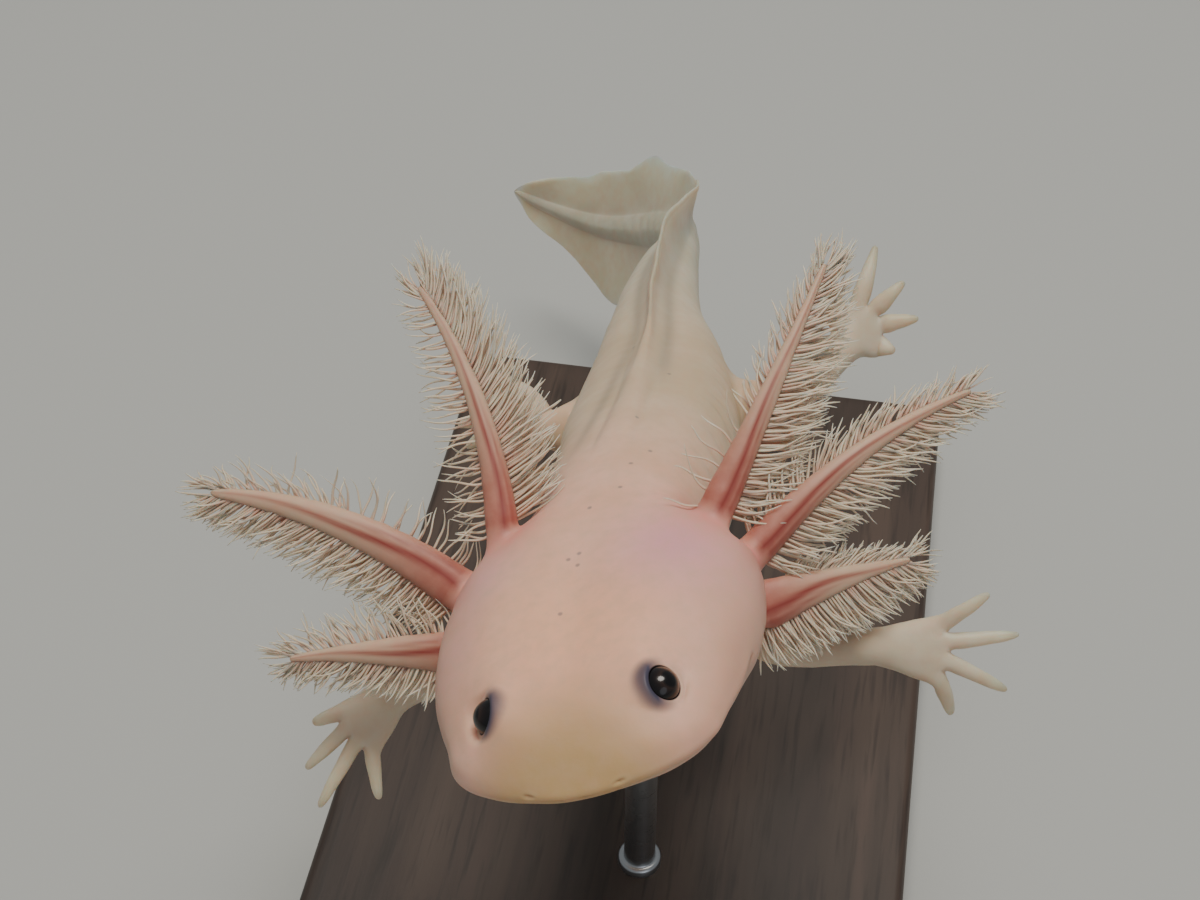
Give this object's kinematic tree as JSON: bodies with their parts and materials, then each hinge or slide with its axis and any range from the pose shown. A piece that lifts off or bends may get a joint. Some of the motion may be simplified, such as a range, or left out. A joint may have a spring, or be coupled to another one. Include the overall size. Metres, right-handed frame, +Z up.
{
  "type": "axolotl model",
  "caption": "Life-size swimming axolotl with a broad head, feathery gills, splayed legs and a bent finned tail, held over a flat base by rods.",
  "frame": {"origin": "centre of the underside of the stand's base", "axes": "+Z up, -Y the way the head faces, +X the animal's left side"},
  "size_m": [0.0839, 0.1543, 0.0994],
  "materials": {
    "skin": "smooth moist bare skin",
    "fin_skin": "thin moist translucent skin",
    "gill_skin": "thin moist skin over red blood vessels",
    "eye": "wet glossy",
    "walnut": "dark oiled",
    "steel": "fine brushed"
  },
  "bodies": {
    "root": {"head": "skin", "neck": "skin", "trunk_front": "skin", "trunk_rear": "skin", "tail_root": "skin", "tail_middle": "skin", "tail_bend": "skin", "tail_end": "skin", "leg_front_left": "skin", "leg_front_right": "skin", "leg_hind_left": "skin", "leg_hind_right": "skin", "fin_back": "fin_skin", "fin_tail_upper_front": "fin_skin", "fin_tail_upper_rear": "fin_skin", "fin_tail_lower_front": "fin_skin", "fin_tail_lower_rear": "fin_skin", "gill_left_top": "gill_skin", "gill_left_middle": "gill_skin", "gill_left_bottom": "gill_skin", "gill_right_top": "gill_skin", "gill_right_middle": "gill_skin", "gill_right_bottom": "gill_skin", "eye_left": "eye", "eye_right": "eye", "stand_base": "walnut", "stand_rod_front": "steel", "stand_rod_rear": "steel"}
  },
  "joints": []
}
